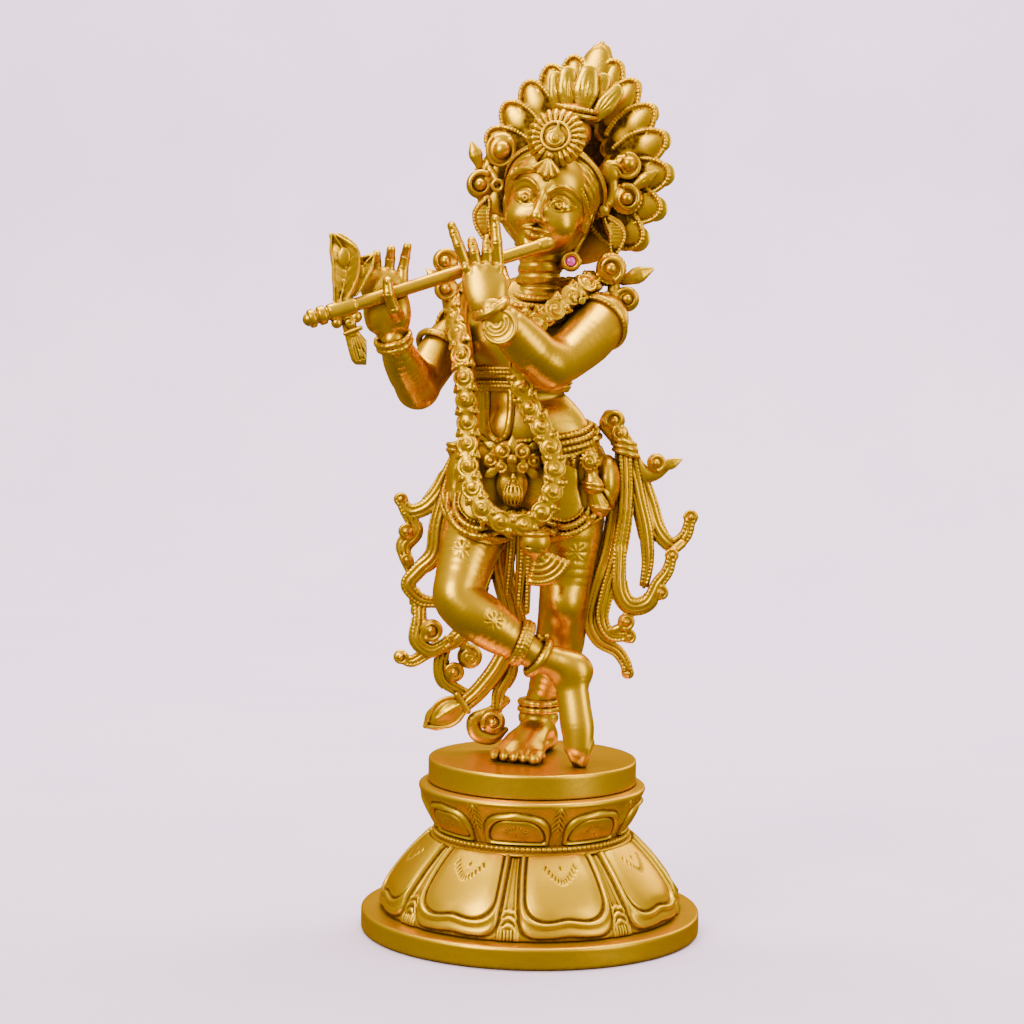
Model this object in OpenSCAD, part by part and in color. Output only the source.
// Standing flute player on a round lotus base.
// Millimetres. +Z is up, the figure faces -Y, the origin is at the centre of the base on the floor.

/* [Base] */
// Radius of the foot plate
base_r = 58; // [56:0.5:60]
// Thickness of the foot plate
plate_t = 7.5; // [7:0.1:9]
// Height of the domed lower lotus
lower_lotus_h = 24; // [23:0.5:26]
// Height of the beaded collar
collar_h = 3.7; // [3.5:0.1:4.5]
// Height of the flaring upper lotus
upper_lotus_h = 15.8; // [15:0.1:17]
// Height of the drum that the figure stands on
drum_h = 8.3; // [8:0.1:10]
// Radius of the drum
drum_r = 35.6; // [35:0.1:36]
// Wall thickness of the hollow base castings
wall = 2.8; // [2.4:0.1:3]

/* [Figure] */
// Height of the figure above the drum
figure_h = 243; // [240:1:246]
// Solder gap left round each brazed piece
seam = 0.12; // [0.1:0.01:0.15]

/* [Flute] */
// Radius of the flute
flute_r = 2.3; // [2.1:0.05:2.35]
// Radius of the ring at the mouth end
mouth_r = 2.45; // [2.35:0.05:2.5]
// Radius of the passage through the hands
passage_r = 2.6; // [2.55:0.05:2.7]

/* [Fasteners] */
// Radius of the threaded foot stud
stud_r = 2.5; // [2:0.1:2.5]
// Radius of the three closing screws
screw_r = 1.5; // [1.25:0.05:1.5]

/* [Hidden] */
lotus_z = plate_t;
collar_z = lotus_z + lower_lotus_h;
upper_z = collar_z + collar_h;
drum_z = upper_z + upper_lotus_h;
stage_top = drum_z + drum_h;
fig = figure_h / 243;
back = [0, 1, 0];
up = [0, 0, 1];
chest_front = [-0.26, -0.97, 0];
gold = "goldenrod";
old_gold = "darkgoldenrod";
pale_gold = "gold";
stud_at = [-2, 7];
toe_at = [15.3, -17.5];
head_at = [2, -3, 187];
head_turn = [-3, 13, -18];
halo_at = [9.5, 12, 193.5];
halo_turn = [0, 12, -14];
flute_mouth = [2.7, -24, 174.1];
flute_end = [-74.7, -46, 147.5];
flute_axis = (flute_end - flute_mouth) / norm(flute_end - flute_mouth);
flute_len = norm(flute_end - flute_mouth);
screw_count = 3;
feather_count = 15;

// ---- shared forms ----

function unit(v) = v / norm(v);
function at(v, i) = is_list(v) ? v[i] : v;
function heading(p, i) = unit(p[min(i + 1, len(p) - 1)] - p[max(i - 1, 0)]);
function ring_of(c, t, ref, ru, rw, n) =
    let (u = unit(cross(t, ref)), w = cross(u, t))
    [for (k = [0:n - 1]) c + ru * cos(360 * k / n) * u + rw * sin(360 * k / n) * w];
// Points along a smooth curve through p, n steps to each span
function eased(p, n) = [
    for (i = [0:len(p) - 2]) for (j = [0:n - 1])
        let (a = p[max(i - 1, 0)], b = p[i], c = p[i + 1], d = p[min(i + 2, len(p) - 1)], t = j / n)
        b + 0.5 * t * (c - a + t * (2 * a - 5 * b + 4 * c - d + t * (3 * (b - c) + d - a))),
    p[len(p) - 1]
];
// Radii that swell to r in the middle of a strand of n points and thin to its tip
function tapered(r, n, tip = 0.5) = [for (i = [0:n - 1]) r * (1 - (1 - tip) * pow(i / (n - 1), 3))];

// Meshes everything inside it as one closed casting
module cast() resize([0, 0, 0]) children();

module figure() translate([0, 0, stage_top]) scale(fig) cast() children();

// Closed body swept along p with elliptical rings and rounded ends, grown by g
module loft(p, ru, rw, ref = back, sides = 10, g = 0) {
    n = len(p);
    t0 = heading(p, 0);
    t1 = heading(p, n - 1);
    e0 = min(at(ru, 0), at(rw, 0)) + g;
    e1 = min(at(ru, n - 1), at(rw, n - 1)) + g;
    rings = concat(
        [ring_of(p[0] - 0.6 * e0 * t0, t0, ref, 0.8 * (at(ru, 0) + g), 0.8 * (at(rw, 0) + g), sides)],
        [for (i = [0:n - 1]) ring_of(p[i], heading(p, i), ref, at(ru, i) + g, at(rw, i) + g, sides)],
        [ring_of(p[n - 1] + 0.6 * e1 * t1, t1, ref,
            0.8 * (at(ru, n - 1) + g), 0.8 * (at(rw, n - 1) + g), sides)]);
    m = len(rings);
    tip = 1 + m * sides;
    polyhedron(
        points = concat([p[0] - e0 * t0], [for (r = rings) each r], [p[n - 1] + e1 * t1]),
        faces = concat(
            [for (k = [0:sides - 1]) [0, 1 + (k + 1) % sides, 1 + k]],
            [for (i = [0:m - 2]) for (k = [0:sides - 1])
                let (a = 1 + i * sides, b = a + sides, q = (k + 1) % sides) each
                [[a + k, a + q, b + q], [a + k, b + q, b + k]]],
            [for (k = [0:sides - 1]) let (a = 1 + (m - 1) * sides)
                [tip, a + k, a + (k + 1) % sides]]),
        convexity = 6);
}

// Cloth or scroll strand with thinning end
module strand(p, r, deep = 0.8, tip = 0.5, sides = 6, steps = 2, g = 0) {
    q = eased(p, steps);
    radii = tapered(r, len(q), tip);
    loft(q, radii, deep * radii, sides = sides, g = g);
}

// Egg of three half-widths
module egg(c, size, turn = [0, 0, 0], fn = 12, g = 0)
    translate(c) rotate(turn) scale(size + [g, g, g]) sphere(1, $fn = fn);

// Flat round tube standing on the Z axis
module hoop(rx, ry, r, sides = 6, fn = 20, tall = 1)
    scale([1, ry / rx, tall]) rotate_extrude($fn = fn) translate([rx, 0]) circle(r, $fn = sides);

// Curl of tube in the plane seen from the front
module curl(c, r, tube, turns = 0.8, start = 0, hand = 1, sides = 6) {
    steps = ceil(10 * turns);
    p = [for (i = [0:steps]) let (a = start + hand * 360 * turns * i / steps, q = r * (1 - 0.45 * i / steps))
        c + [q * cos(a), 0, q * sin(a)]];
    loft(p, tube, tube, sides = sides);
}

// ---- base ----

module shell_of(outer, skin) difference() {
    rotate_extrude($fn = 96) polygon(concat([[0, outer[0][1]]], outer, [[0, outer[len(outer) - 1][1]]]));
    rotate_extrude($fn = 96) polygon(concat([[0, outer[0][1] - 1]], [[outer[0][0] - skin, outer[0][1] - 1]],
        [for (p = outer) [p[0] - skin, p[1]]],
        [[outer[len(outer) - 1][0] - skin, outer[len(outer) - 1][1] + 1], [0, outer[len(outer) - 1][1] + 1]]));
}

module at_screws() for (i = [0:screw_count - 1]) rotate(120 * i + 90) translate([47.5, 0, 0]) children();

module foot_plate() color(gold) difference() {
    rotate_extrude($fn = 96) polygon([[44, 2.5], [51, 2.5], [51, 0], [base_r - 0.6, 0], [base_r, 0.6],
        [base_r, plate_t - 1.2], [base_r - 1.2, plate_t], [44, plate_t]]);
    at_screws() translate([0, 0, 1]) cylinder(h = 5, r = screw_r + 0.05, $fn = 24);
}

module closing_plate() color(old_gold) difference() {
    translate([0, 0, 1]) cylinder(h = 1.5, r = 50.9, $fn = 96);
    at_screws() cylinder(h = 4, r = screw_r + 0.2, $fn = 24);
}

module felt_pad() color("darkolivegreen") difference() {
    cylinder(h = 1, r = 50.5, $fn = 96);
    at_screws() translate([0, 0, -1]) cylinder(h = 3, r = 3.2, $fn = 24);
}

module plate_screws() color("silver") at_screws() union() {
    translate([0, 0, 0.2]) cylinder(h = 0.8, r = 2.8, $fn = 24);
    translate([0, 0, 0.9]) cylinder(h = 4.6, r = screw_r, $fn = 24);
}

module lower_lotus() {
    s = lower_lotus_h / 24;
    color(gold) shell_of([for (p = [[53.5, 0], [53.5, 2], [52.5, 6], [48.5, 10], [45, 14], [42.5, 18],
        [39.5, 22], [36, 24]]) [p[0], lotus_z + s * p[1]]], wall);
}

module bead_collar() color(pale_gold) rotate_extrude($fn = 96) polygon([[31, collar_z],
    [34.4, collar_z], [35.4, collar_z + 1.2], [35.4, collar_z + 2.4], [34.2, upper_z], [31, upper_z]]);

module upper_lotus() {
    s = upper_lotus_h / 15.8;
    color(gold) shell_of([for (p = [[33.3, 0], [33.3, 1], [35.4, 4.8], [37.7, 8.8], [38.9, 13.1],
        [38.1, 15.2], [36.6, 15.8]]) [p[0], upper_z + s * p[1]]], wall);
}

module stage_drum() color(pale_gold) difference() {
    rotate_extrude($fn = 96) polygon([[0, drum_z + 5.3], [drum_r - wall, drum_z + 5.3],
        [drum_r - wall, drum_z], [drum_r, drum_z], [drum_r, stage_top - 0.8],
        [drum_r - 0.8, stage_top], [0, stage_top]]);
    translate([stud_at[0], stud_at[1], drum_z]) cylinder(h = 20, r = stud_r + 0.1, $fn = 32);
    translate([toe_at[0], toe_at[1], drum_z]) cylinder(h = 20, r = 1.1, $fn = 24);
}

module foot_stud() color("silver") translate([stud_at[0], stud_at[1], drum_z - 2.6])
    cylinder(h = drum_h + 2.6 + 7, r = stud_r, $fn = 32);

module stud_washer() color("silver") translate([stud_at[0], stud_at[1], drum_z + 4.3]) difference() {
    cylinder(h = 1, r = 5, $fn = 32);
    translate([0, 0, -1]) cylinder(h = 3, r = stud_r + 0.15, $fn = 32);
}

module stud_nut() color("silver") translate([stud_at[0], stud_at[1], drum_z + 0.3]) difference() {
    cylinder(h = 4, r = 4.6, $fn = 6);
    translate([0, 0, -1]) cylinder(h = 6, r = stud_r + 0.05, $fn = 32);
}

module toe_pin() color("silver") translate([toe_at[0], toe_at[1], stage_top - 2.9])
    cylinder(h = 7.4, r = 1, $fn = 24);

// ---- body of the figure ----

module torso_form(g = 0) loft([[-1.5, 4, 88], [-1.5, 4, 98], [-1.5, 3, 106], [-5, 3, 115], [-7.4, 3, 122.5],
    [-7.5, 3, 131], [-6, 3, 140], [-4, 3, 148], [-2.5, 3, 154]],
    [20, 23.5, 21.5, 17.5, 15.8, 17, 19.5, 20, 13], [13, 14.5, 13.5, 11.5, 10.8, 11.5, 12.5, 11.5, 8.5],
    chest_front, 14, g);

module neck_form(g = 0) loft([[-1.8, 3, 156], [-0.8, 1, 163], [0, -0.5, 170]], [9, 7.6, 7.4], [8, 7.4, 7.4],
    chest_front, 10, g);

module at_head() translate(head_at) rotate(head_turn) children();

module head_form(g = 0) at_head() loft([[0, -6, -16], [0, -4, -11], [0, -1, -5], [0, 1, 3], [0, 1.5, 10],
    [0, 2, 15]], [6, 9.5, 12.5, 14, 13, 8], [5.5, 8.5, 12.5, 15, 14.5, 9], [0, -1, 0], 14, g);

module right_upper_arm_form(g = 0) loft([[-27, 5, 146], [-33, 0, 138], [-38.5, -8, 129]], [8, 7.6, 7],
    [8, 7.6, 7], up, 10, g);
module right_forearm_form(g = 0) loft([[-40.5, -13, 125.5], [-44, -22, 132], [-47, -31, 139.5]],
    [6.8, 6.6, 4.4], [6.8, 6.4, 4.2], up, 10, g);
module left_upper_arm_form(g = 0) loft([[20, -5, 149], [15, -14, 143], [7, -26, 136]], [9.5, 9, 7.6],
    [9, 8.6, 7.6], up, 10, g);
module left_forearm_form(g = 0) loft([[1.5, -31, 135.5], [-6, -37, 143], [-14.5, -41, 150]],
    [7.4, 7.2, 5], [7.2, 6.8, 4.6], up, 10, g);

module standing_leg_form(g = 0) loft([[9.9, 4, 84], [10.2, 2, 70], [9.8, 1, 56], [9.4, 3, 46], [8.4, 6, 38],
    [4.8, 8, 26], [2.4, 9, 17], [1.6, 9, 12]], [13.2, 12, 8.8, 8.4, 8.4, 6.8, 5.4, 5.4],
    [13.2, 12, 9, 9, 8.6, 6.8, 5.4, 5.6], back, 12, g);
module standing_foot_form(g = 0) {
    loft([[2.5, 14, 6], [0, 7, 6], [-3.5, -2, 4.2], [-5.5, -7, 3]], [6, 6.6, 8, 8.2], [6, 5.8, 4.2, 2.8],
        up, 10, g);
    for (i = [0:4]) egg([-12 + 3.6 * i, -9.4 - i * 0.3, 2.2], [1.9, 4.4, 2], [0, 0, -12], 8, g);
}
module crossed_leg_form(g = 0) loft([[-18, 0, 85], [-22, -8, 72], [-25, -15, 61], [-24.4, -18, 54.5],
    [-17.7, -18, 49.5], [-9.5, -17, 43.5], [-1, -16, 38], [2.5, -15, 35.6]],
    [12.6, 10.6, 9.4, 8.8, 8.4, 7, 5.2, 5], [12.6, 11, 10, 9.4, 8.8, 7.4, 5.4, 5.2], [0.3, 0.9, 0.3], 12, g);
module crossed_foot_form(g = 0) loft([[7, -13, 35], [13.2, -12, 30], [14, -14.5, 21], [15, -17, 12.5],
    [15.3, -17.8, 2.6]], [5.2, 6.2, 5.8, 6, 3.4], [5.4, 5.6, 4.4, 3.4, 2.4], [-0.2, 1, 0], 10, g);

module right_hand_form(g = 0) {
    loft([[-48.2, -33, 143], [-48.8, -34, 149], [-50.5, -34.6, 157]], [4.6, 6.4, 7.2], [3.6, 3.4, 3], back, 8, g);
    for (i = [0:3]) {
        root = [-56 + 3.4 * i, -34.6, 158.5 + 0.5 * i];
        loft([root, root + [-1, 1.6, 6], root + [-0.6, 0.4, 10.5]], [1.9, 1.7, 1.3], [1.9, 1.7, 1.3], back, 6, g);
    }
    loft([[-45, -37, 149], [-45.5, -42.6, 153.5], [-48.6, -43.4, 159]], [2.4, 2.1, 1.6], [2.4, 2.1, 1.6], back, 6, g);
}
module left_hand_form(g = 0) {
    loft([[-16.4, -41.8, 153.5], [-18.4, -41, 159], [-19.6, -37.6, 166.5]], [5, 6.4, 7], [4, 3.8, 3.4], back, 8, g);
    for (i = [0:3]) {
        root = [-24.4 + 3.5 * i, -37.4, 168 + 0.2 * i];
        lean = [-0.55 + 0.15 * i, 0.2, 1];
        tall = [9.6, 6, 7.4, 11.6][i];
        loft([root, root + 0.5 * tall * lean, root + tall * lean], [1.9, 1.7, 1.2], [1.9, 1.7, 1.2], back, 6, g);
    }
    loft([[-13.6, -39, 158], [-12.6, -34, 160.5], [-14, -28.2, 163.5]], [2.4, 2.1, 1.6], [2.4, 2.1, 1.6],
        [1, 0, 0], 6, g);
}

module passage() translate(flute_mouth) multmatrix(frame_on(flute_axis)) translate([0, 0, -30])
    cylinder(h = flute_len + 60, r = passage_r, $fn = 32);
// Turns +Z onto the unit vector t
function frame_on(t) =
    let (u = unit(cross(abs(t[2]) > 0.9 ? back : up, t)), w = cross(t, u))
    [[u[0], w[0], t[0], 0], [u[1], w[1], t[1], 0], [u[2], w[2], t[2], 0], [0, 0, 0, 1]];
module placed() translate([0, 0, stage_top]) scale(fig) children();

// Everything that the smaller pieces are seated on, grown by the solder gap
module core() {
    torso_form(seam);
    neck_form(seam);
    head_form(seam);
    standing_leg_form(seam);
    crossed_leg_form(seam);
}
module arms() {
    right_upper_arm_form(seam);
    right_forearm_form(seam);
    left_upper_arm_form(seam);
    left_forearm_form(seam);
}

module torso() color(gold) figure() torso_form();
module neck() color(gold) figure() difference() {
    neck_form();
    torso_form(seam);
}
module head() color(gold) figure() difference() {
    union() {
        head_form();
        at_head() egg([0, -15.2, -2.5], [2.2, 3, 4]);
    }
    neck_form(seam);
}
module right_upper_arm() color(gold) figure() difference() {
    right_upper_arm_form();
    torso_form(seam);
}
module right_forearm() color(gold) figure() difference() {
    right_forearm_form();
    right_upper_arm_form(seam);
}
module left_upper_arm() color(gold) figure() difference() {
    left_upper_arm_form();
    torso_form(seam);
}
module left_forearm() color(gold) figure() difference() {
    left_forearm_form();
    left_upper_arm_form(seam);
}
module right_hand() color(gold) placed() difference() {
    cast() difference() {
        right_hand_form();
        right_forearm_form(seam);
    }
    passage();
}
module left_hand() color(gold) placed() difference() {
    cast() difference() {
        left_hand_form();
        left_forearm_form(seam);
    }
    passage();
}
module standing_leg() color(gold) figure() difference() {
    standing_leg_form();
    torso_form(seam);
}
module standing_foot() color(gold) difference() {
    placed() cast() difference() {
        standing_foot_form();
        standing_leg_form(seam);
        translate([-50, -50, -20]) cube([100, 100, 20]);
    }
    translate([stud_at[0], stud_at[1], stage_top - 1]) cylinder(h = 8.2, r = stud_r + 0.05, $fn = 32);
}
module crossed_leg() color(gold) figure() difference() {
    crossed_leg_form();
    torso_form(seam);
    standing_leg_form(seam);
}
module crossed_foot() color(gold) difference() {
    placed() cast() difference() {
        crossed_foot_form();
        crossed_leg_form(seam);
        translate([-50, -50, -20]) cube([100, 100, 20]);
    }
    translate([toe_at[0], toe_at[1], stage_top - 1]) cylinder(h = 5.6, r = 1.05, $fn = 24);
}

// ---- head dress ----

module hair_form(g = 0) intersection() {
    head_form(2.4 + g);
    at_head() {
        translate([-30, 2 - g, -12 - g]) cube([60, 40, 60]);
        translate([-30, -30, 10 - g]) cube([60, 60, 30]);
    }
}
module crown_form(g = 0) at_head() translate([0, 1, 13.5]) hoop(12.8, 13.6, 1.9 + g, fn = 24);
module medallion_form(g = 0) translate([4.1, -14.5, 209]) rotate(head_turn) rotate([80, 0, 0])
    translate([0, 0, -1 - g]) cylinder(h = 3.4 + 2 * g, r = 9 + g, $fn = 24);
module halo_pose() translate([halo_at[0], 16, halo_at[2]]) rotate(halo_turn) children();
// Reach of the feather fan at angle a from its top
function fan_reach(a) = 32.5 + 17.5 * exp(-abs(a) / 38);
// Everything from the front of the feather fan backwards
module behind_fan() halo_pose() translate([-80, -4.4, -80]) cube([160, 40, 160]);

module stem_form(g = 0) translate([6, 20, 190]) rotate([90, 0, 0]) cylinder(h = 10, r = 1.8 + g, $fn = 16);

module hair_locks() color(old_gold) figure() difference() {
    hair_form();
    head_form(seam);
    neck_form(seam);
}
module crown_band() color(gold) figure() difference() {
    crown_form();
    hair_form(seam);
    head_form(seam);
}
module crest_medallion() color(pale_gold) figure() difference() {
    union() {
        medallion_form();
        egg([2.2, -18.5, 200.5], [4.5, 1.4, 3.2], head_turn);
    }
    hair_form(seam);
    head_form(seam);
    crown_form(seam);
}
module top_knot() color(gold) figure() difference() {
    union() {
        egg([7.5, 0, 212], [8.5, 9, 7], head_turn);
        egg([9, 0, 217.5], [5.5, 5.5, 3.5], head_turn);
    }
    hair_form(seam);
    head_form(seam);
    crown_form(seam);
    medallion_form(seam);
}
module crest_feathers() color(gold) figure() difference() {
    for (i = [-2:2]) egg([10.6 + 3.3 * i, 0.6 * abs(i), 223.6 - 1.1 * abs(i)], [2.9, 2, 6.4], [0, 12 + 14 * i, 0]);
    egg([9, 0, 217.5], [5.5, 5.5, 3.5], head_turn, g = seam);
    egg([7.5, 0, 212], [8.5, 9, 7], head_turn, g = seam);
    medallion_form(seam);
}
module halo_plate() color(old_gold) figure() difference() {
    halo_pose() rotate([90, 0, 0]) linear_extrude(1.6)
        polygon([for (a = [-150:15:150]) 0.82 * fan_reach(a) * [sin(a), cos(a)]]);
    stem_form(seam);
    hair_form(2 * seam);
    head_form(seam);
    neck_form(seam);
    torso_form(seam);
}
module halo_feathers() color(gold) figure() difference() {
    halo_pose() translate([0, -1.6 - seam, 0]) difference() {
        for (i = [0:feather_count - 1]) {
            k = i - (feather_count - 1) / 2;
            a = 8.5 * sign(k) * pow(abs(k), 1.33);
            reach = fan_reach(a);
            rotate([0, a, 0]) translate([0, 0, reach - 13]) scale([5 + 0.2 * abs(k), 2.6, 13]) sphere(1, $fn = 12);
        }
        translate([-80, 0, -80]) cube([160, 10, 160]);
    }
    hair_form(2 * seam);
    head_form(seam);
    torso_form(seam);
    arms();
}
module halo_stem() color(gold) figure() difference() {
    stem_form();
    hair_form(seam);
}
module right_ear_scrolls() color(gold) figure() difference() {
    union() {
        loft([[-23, 6, 192], [-19, 6, 198], [-16, 6, 206]], 2, 1.8);
        egg([-21.2, 6, 194], [5.8, 2.6, 5.6]);
        egg([-16.5, 6, 207.2], [4.8, 2.6, 6]);
        egg([-24, 6.5, 204.5], [3.4, 2, 5], [0, -20, 0]);
        loft([[-24, 6.5, 202], [-18, 6, 200]], 1.6, 1.6);
    }
    hair_form(seam);
    head_form(seam);
    crown_form(seam);
}
module left_ear_form(g = 0) {
    loft([[21, 3, 188], [25, 3, 193], [24, 3, 200], [28, 3, 203]], 2.2, 2, g = g);
    egg([27.9, 3, 191.4], [5.4, 2.6, 5.2], g = g);
    egg([28.2, 3, 202.8], [4.4, 2.6, 4.4], g = g);
    egg([22.5, 4, 201.5], [3.6, 2.4, 4], [0, 20, 0], g = g);
    egg([34, 1.4, 197.2], [4.6, 2, 2.8], [0, -25, 0], g = g);
    loft([[28, 2.6, 199], [33, 1.6, 197]], 1.8, 1.6, g = g);
    egg([20.5, 2, 186.8], [3, 2.6, 3], g = g);
}
module left_ear_scrolls() color(gold) figure() difference() {
    left_ear_form();
    behind_fan();
    hair_form(seam);
    head_form(seam);
    crown_form(seam);
}
module right_earring() color(gold) figure() difference() {
    egg([-18.2, 1.5, 182.5], [3.8, 1.8, 7.6], [0, 12, 0]);
    hair_form(seam);
    head_form(seam);
}
module left_earring() color(gold) figure() difference() {
    egg([22.5, 1, 178.5], [4, 1.8, 7.6], [0, -14, 0]);
    left_ear_form(seam);
    hair_form(seam);
    head_form(seam);
}
module gem_stone() color("palevioletred") figure() egg([9.9, -8.6, 168.6], [1.65, 1.1, 1.65], fn = 16);
module gem_collar() color(pale_gold) figure() difference() {
    union() {
        translate([9.9, -8.8, 168.6]) rotate([-90, 0, 0]) cylinder(h = 2.6, r = 3.4, $fn = 16);
        loft([[9.9, -6.5, 168.6], [7, -3, 167.6]], 1.8, 1.8, up);
    }
    egg([9.9, -8.6, 168.6], [1.65, 1.1, 1.65], fn = 16, g = seam);
    neck_form(seam);
    head_form(seam);
}

// ---- jewellery ----

garland_path = [[-26, 5, 158], [-28, -3, 151], [-26, -12.5, 141], [-24, -15, 126], [-23, -15, 112], [-22.5, -17, 99],
    [-18.5, -19.5, 87.5], [-10.5, -21, 82], [-2.2, -21, 82.2], [4, -20.5, 90], [5.4, -19, 101.3],
    [2.2, -18, 111], [-3, -16.5, 120], [-6.5, -16.5, 131], [-4, -17, 144], [6, -15, 153.5], [15.5, -7, 161],
    [17.5, 3, 161.5], [12, 13, 160], [-2, 16, 159], [-16, 14, 158.5]];
module garland_form(g = 0) loft(eased(garland_path, 2), 4.1, 3.4, up, 8, g);
module bangle(c, axis, r, tube, g = 0) translate(c) multmatrix(frame_on(unit(axis)))
    rotate_extrude($fn = 18) translate([r, 0]) circle(tube + g, $fn = 8);
module left_armlet_form(g = 0) {
    bangle([17.8, -8.5, 146.3], [-5, -11, -7], 9.6, 1.9, g);
    loft([[21, 1, 150], [23, 1, 157], [22.5, 0, 164], [24, 0, 167.5]], 1.8 + g, 1.8 + g);
    loft([[23, 1, 157], [28, 1, 160], [30, 1, 157]], 1.8 + g, 1.8 + g);
    egg([22.6, -1, 167], [4.2, 2.4, 4.2], g = g);
    egg([30, 0, 157.2], [4.4, 2.4, 4.4], g = g);
    egg([32.2, 2, 164.8], [2.6, 1.8, 5], [0, 30, 0], g = g);
}
module right_armlet_form(g = 0) {
    bangle([-31.5, 1.6, 141.5], [-6, -6, -9], 8.6, 1.8, g);
    loft([[-33, 9, 147], [-34, 8, 154], [-32.5, 6, 160], [-32, 6, 167]], 1.9 + g, 1.9 + g);
    egg([-32, 5.4, 168], [4.2, 2.6, 4], g = g);
    egg([-31.9, 5.4, 158.7], [4.4, 2.6, 4.4], g = g);
}
module belt_form(g = 0) intersection() {
    torso_form(2.6 + g);
    translate([0, 0, 104.5]) rotate([0, -7.5, 0]) cube([120, 120, 8.6 + 2 * g], center = true);
}
module skirt_form(g = 0) intersection() {
    union() {
        torso_form(2 + g);
        standing_leg_form(1.8 + g);
        crossed_leg_form(1.8 + g);
    }
    translate([-60, -60, 80 - g]) cube([120, 120, 17.5 + 2 * g]);
}
module buckle_form(g = 0) {
    egg([-8.5, -12.5, 101.6], [8, 3.6, 6], g = g);
    egg([-7.8, -14.2, 92.2], [5, 3.6, 6.6], g = g);
}
module clasp_form(g = 0) {
    egg([15.9, -11, 103.5], [3, 2.4, 3], g = g);
    loft([[17, -11.4, 100], [18, -12, 96], [18.4, -12.2, 93]], [2.6, 3.2, 4.4], [2.2, 2.6, 3.2], g = g);
    egg([19.2, -11.6, 89], [2.4, 2.2, 3], g = g);
}
module sash_knot_form(g = 0) {
    egg([22.4, 4, 115.4], [4.6, 3, 4], g = g);
    loft([[23, 4, 113], [28, 2, 109], [31, 0.5, 102.5]], [2.4, 4.8, 4.4], [2.2, 4, 3.6], g = g);
}

module necklaces() color(pale_gold) figure() difference() {
    union() {
        bangle([-0.9, 1.2, 161], [0.1, 0.2, 1], 8.4, 1.3);
        bangle([-1.4, 0.4, 156.6], [0.1, 0.35, 1], 11.2, 1.5);
    }
    core();
    arms();
    garland_form(seam);
}
module garland() color(gold) figure() difference() {
    garland_form();
    core();
    arms();
}
module garland_tassel() color(gold) figure() difference() {
    union() {
        egg([-0.3, -20.5, 75.4], [5.2, 4.4, 5.6]);
        egg([4.8, -20, 66], [7.6, 2, 5.4], [0, -25, 0]);
        loft([[0, -20.4, 73], [3.4, -20.2, 68]], 1.8, 1.6);
    }
    garland_form(seam);
    core();
    skirt_form(2 * seam);
}
module right_armlet() color(gold) figure() difference() {
    right_armlet_form();
    core();
    arms();
    garland_form(seam);
}
module left_armlet() color(gold) figure() difference() {
    left_armlet_form();
    core();
    arms();
    garland_form(seam);
}
module right_bangle() color(gold) figure() difference() {
    bangle([-47.6, -32, 141], [-3, -5, 10], 5.6, 1.7);
    arms();
    right_hand_form(seam);
}
module left_bangle() color(gold) figure() difference() {
    bangle([-15.9, -41.3, 152.2], [-5, -2, 8], 5.6, 1.5);
    arms();
    left_hand_form(seam);
}
module wrist_cuff() color(pale_gold) figure() difference() {
    egg([-11.4, -44.6, 146], [5.2, 2.8, 5], [0, -40, 0]);
    arms();
    left_hand_form(seam);
    bangle([-15.9, -41.3, 152.2], [-5, -2, 8], 5.6, 1.5 + seam);
    translate([-40, -43.4, 120]) cube([60, 20, 60]);
}
module chest_bands() color(gold) figure() difference() {
    union() {
        intersection() {
            torso_form(1.7);
            translate([-40, -40, 124.6]) cube([80, 80, 8.4]);
        }
        loft([[-18, -8.5, 124], [-17.6, -9.5, 115], [-13.7, -10.4, 108.6], [-10, -10, 113], [-9.6, -9, 124]],
            1.5, 1.5);
    }
    torso_form(seam);
    garland_form(seam);
    belt_form(seam);
    arms();
}
module waist_belt() color(gold) figure() difference() {
    belt_form();
    torso_form(seam);
    garland_form(seam);
}
module thigh_swags() color(gold) figure() difference() {
    skirt_form();
    core();
    belt_form(seam);
    garland_form(seam);
}
module belt_buckle() color(old_gold) figure() difference() {
    buckle_form();
    core();
    belt_form(seam);
    skirt_form(seam);
    garland_form(seam);
}
module hip_clasp() color(gold) figure() difference() {
    clasp_form();
    core();
    belt_form(seam);
    skirt_form(seam);
    garland_form(seam);
}
module front_strands() color(old_gold) figure() difference() {
    union() {
        strand([[-8, -9, 80], [-8.6, -8, 70], [-9.7, -6, 58]], 2);
        strand([[-5, -9, 80], [-5, -8, 68], [-5.8, -6, 55]], 2);
        strand([[-2.5, -9, 80], [-3, -7, 66], [-3, -5, 51]], 2);
    }
    core();
    skirt_form(seam);
    garland_form(seam);
}

// ---- scarves ----

module hip_sash() color(gold) figure() difference() {
    union() {
        sash_knot_form();
        strand([[29, 1, 103], [27, 0, 88], [25, 0, 72], [20.5, 0, 56], [19, 0, 47], [22, 0, 40.5],
            [28, 0, 37], [31, 0, 33], [32, 0, 30]], 2.5);
        strand([[30, -1, 103], [30, -2, 88], [28, -2, 72], [24, -2, 56], [23, -2, 48], [26, -2, 42.5],
            [33, -2, 42.5]], 2.2);
        strand([[31, 0, 103], [34.5, 0, 89], [37, 0, 78.5], [38, 0, 68], [36.5, 0, 61.5]], 2.2);
        strand([[32, 2, 103], [37.5, 2, 89], [41, 2, 78.5], [46, 2, 73.5], [51, 2, 77], [52, 2, 84]], 2.5);
        strand([[34, 2, 103], [39.5, 2, 99], [43.5, 2, 102], [47, 2, 102.5]], 2.4, tip = 0.4);
        strand([[28.5, -2, 70], [28.5, -3, 59], [32, -3, 53], [38, -3, 55], [40.5, -3, 62], [45, -3, 65.5],
            [45.5, -3, 71.5]], 2.3);
    }
    core();
    belt_form(seam);
    skirt_form(seam);
}
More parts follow.
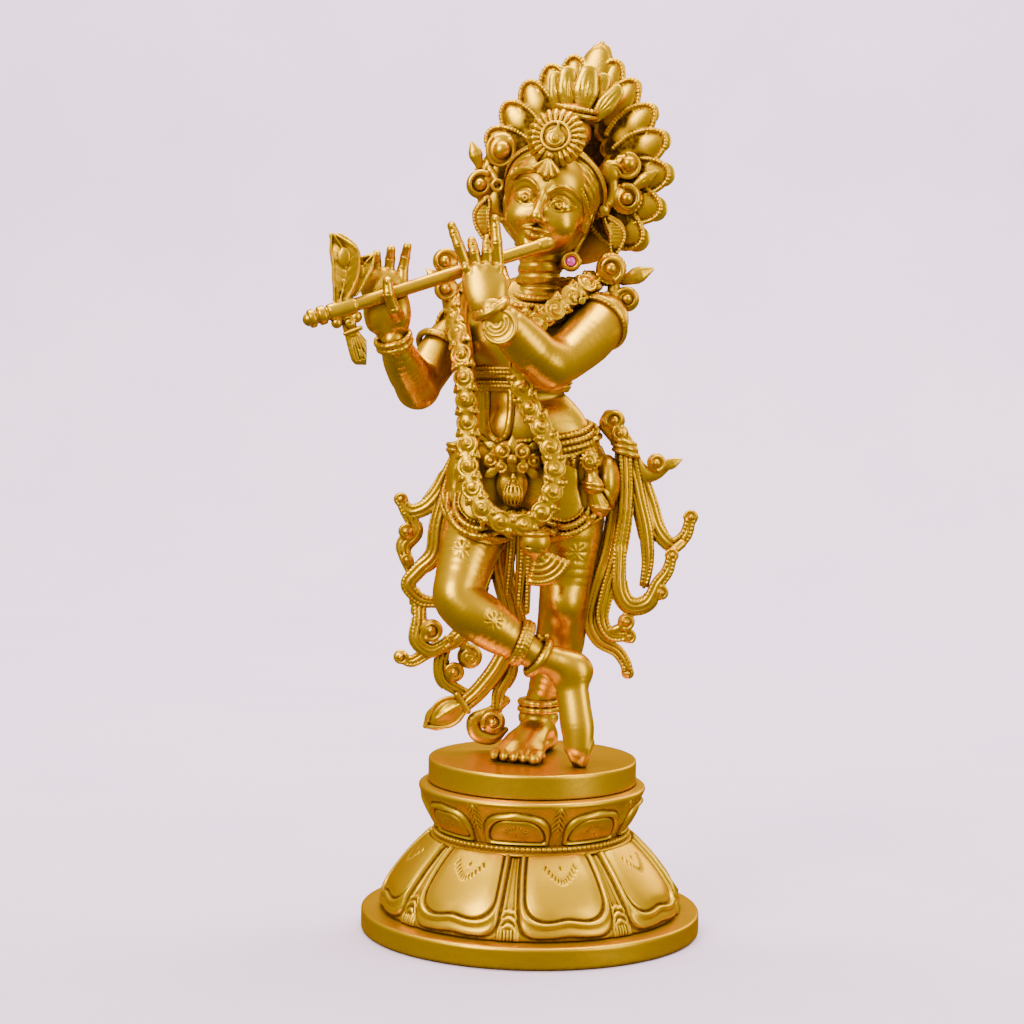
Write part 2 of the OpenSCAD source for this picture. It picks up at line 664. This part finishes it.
module scarf_ends() color(gold) figure() difference() {
    union() {
        strand([[-26, 6, 101], [-33, 6, 90.5], [-38, 6, 84.5], [-44, 6, 83], [-46, 6, 88]], 2.6);
        strand([[-26, 5, 99], [-33, 4, 80.5], [-34.5, 4, 69], [-40, 4, 63], [-43.5, 4, 58], [-39.5, 4, 53],
            [-34, 4, 52]], 2.6);
        strand([[-43.5, 6, 83], [-40.8, 6, 75], [-45, 6, 70], [-42.5, 5, 62]], 2.2);
        strand([[-41, 5, 54], [-39, 4, 46], [-40, 3, 39], [-35, 2.5, 35.5], [-29, 3, 39]], 2.3);
    }
    core();
    belt_form(seam);
    skirt_form(seam);
}
module rear_sash() color(gold) figure() difference() {
    union() {
        strand([[-8, 20, 94], [-10, 19, 84], [-12, 14, 66], [-8, 10, 50], [-7, 9, 42], [-12, 8, 30.5],
            [-18.5, 8, 21.5], [-23.5, 8, 16], [-29, 8, 12]], 3, tip = 0.8, sides = 8);
        strand([[-14, 14, 70], [-20, 9, 52], [-22.4, 8, 46], [-27.5, 8, 38.5], [-36, 8, 35], [-42, 8, 31],
            [-45.5, 8, 34]], 2.4);
        strand([[-30, 9, 38], [-32, 9, 31], [-31, 9, 24.5], [-26, 9, 21], [-22, 9, 18]], 2.2, tip = 0.8);
        strand([[-8, 9.5, 36], [-8.5, 10, 28], [-12, 10, 21], [-10, 10, 16], [-16, 10, 13], [-21.5, 10, 10.5],
            [-15, 10, 5.6], [-11.4, 10, 8]], 2.4, tip = 0.8);
        egg([-31, 8, 13.4], [4.4, 1.8, 6.6], [0, 52, 0]);
        egg([-22.3, 11, 32.7], [4, 3, 4]);
        loft([[-22.3, 10.5, 32.7], [-27, 9, 37.5]], 1.8, 1.8);
    }
    core();
    belt_form(seam);
    skirt_form(seam);
    standing_foot_form(seam);
}
module anklets() color(gold) figure() difference() {
    union() {
        bangle([2, 9, 16.6], [-0.1, 0, 1], 6.9, 1.6);
        bangle([1.6, -15.2, 36.2], [6, 1, -4], 6.2, 1.6);
        bangle([-5, -16.6, 40.6], [8.5, 1, -5.5], 7, 1.4);
    }
    core();
    standing_foot_form(seam);
    crossed_foot_form(seam);
}

// ---- flute ----

module at_flute() placed() translate(flute_mouth) multmatrix(frame_on(flute_axis)) children();
function along(s, side = [0, 0, 0]) = flute_mouth + s * flute_axis + side;
module flute() color(pale_gold) at_flute() rotate_extrude($fn = 48) polygon([[0, 0], [mouth_r - 0.4, 0],
    [mouth_r, 0.5], [mouth_r, 4], [flute_r, 4.4], [flute_r, 62], [2.5, 66], [2.5, 77], [3.1, 78],
    [3.1, 80.4], [2.7, 80.9], [3, 81.6], [3, 83.6], [2.2, 84.9], [0, 84.9]]);
module flute_bar(g = 0) loft([along(58), along(80)], 2.5 + g, 2.5 + g, up, 16);
module flute_feathers() color(gold) figure() difference() {
    union() {
        egg(along(75, [-3.6, 0, 12.5]), [4.8, 1.2, 9.6], [0, -4, 0]);
        egg(along(73, [0, 0, 6]), [2.2, 1, 6], [0, 4, 0]);
        egg(along(67.5, [0.5, 0, 7.6]), [3.8, 1.2, 6.4], [0, 38, 0]);
    }
    flute_bar(seam);
}
module flute_tassel() color(gold) figure() difference() {
    union() {
        loft([along(71.5, [0, 0, -2]), along(71, [1.5, 0, -7]), along(69.6, [2.4, 0, -14])],
            [1.6, 2.2, 4.2], [1.2, 1.4, 1.4]);
        egg(along(74, [0, 0, -3.6]), [1.7, 1.4, 1.7]);
        egg(along(68.6, [0, 0, -3.8]), [2.1, 1.4, 2.1]);
    }
    flute_bar(seam);
}

foot_plate();
closing_plate();
felt_pad();
plate_screws();
lower_lotus();
bead_collar();
upper_lotus();
stage_drum();
foot_stud();
stud_washer();
stud_nut();
toe_pin();
torso();
neck();
head();
right_upper_arm();
right_forearm();
right_hand();
left_upper_arm();
left_forearm();
left_hand();
standing_leg();
standing_foot();
crossed_leg();
crossed_foot();
hair_locks();
crown_band();
crest_medallion();
top_knot();
crest_feathers();
halo_plate();
halo_feathers();
halo_stem();
right_ear_scrolls();
left_ear_scrolls();
right_earring();
left_earring();
gem_collar();
gem_stone();
necklaces();
right_armlet();
left_armlet();
right_bangle();
left_bangle();
wrist_cuff();
chest_bands();
garland();
garland_tassel();
waist_belt();
belt_buckle();
hip_clasp();
thigh_swags();
front_strands();
hip_sash();
scarf_ends();
rear_sash();
anklets();
flute();
flute_feathers();
flute_tassel();
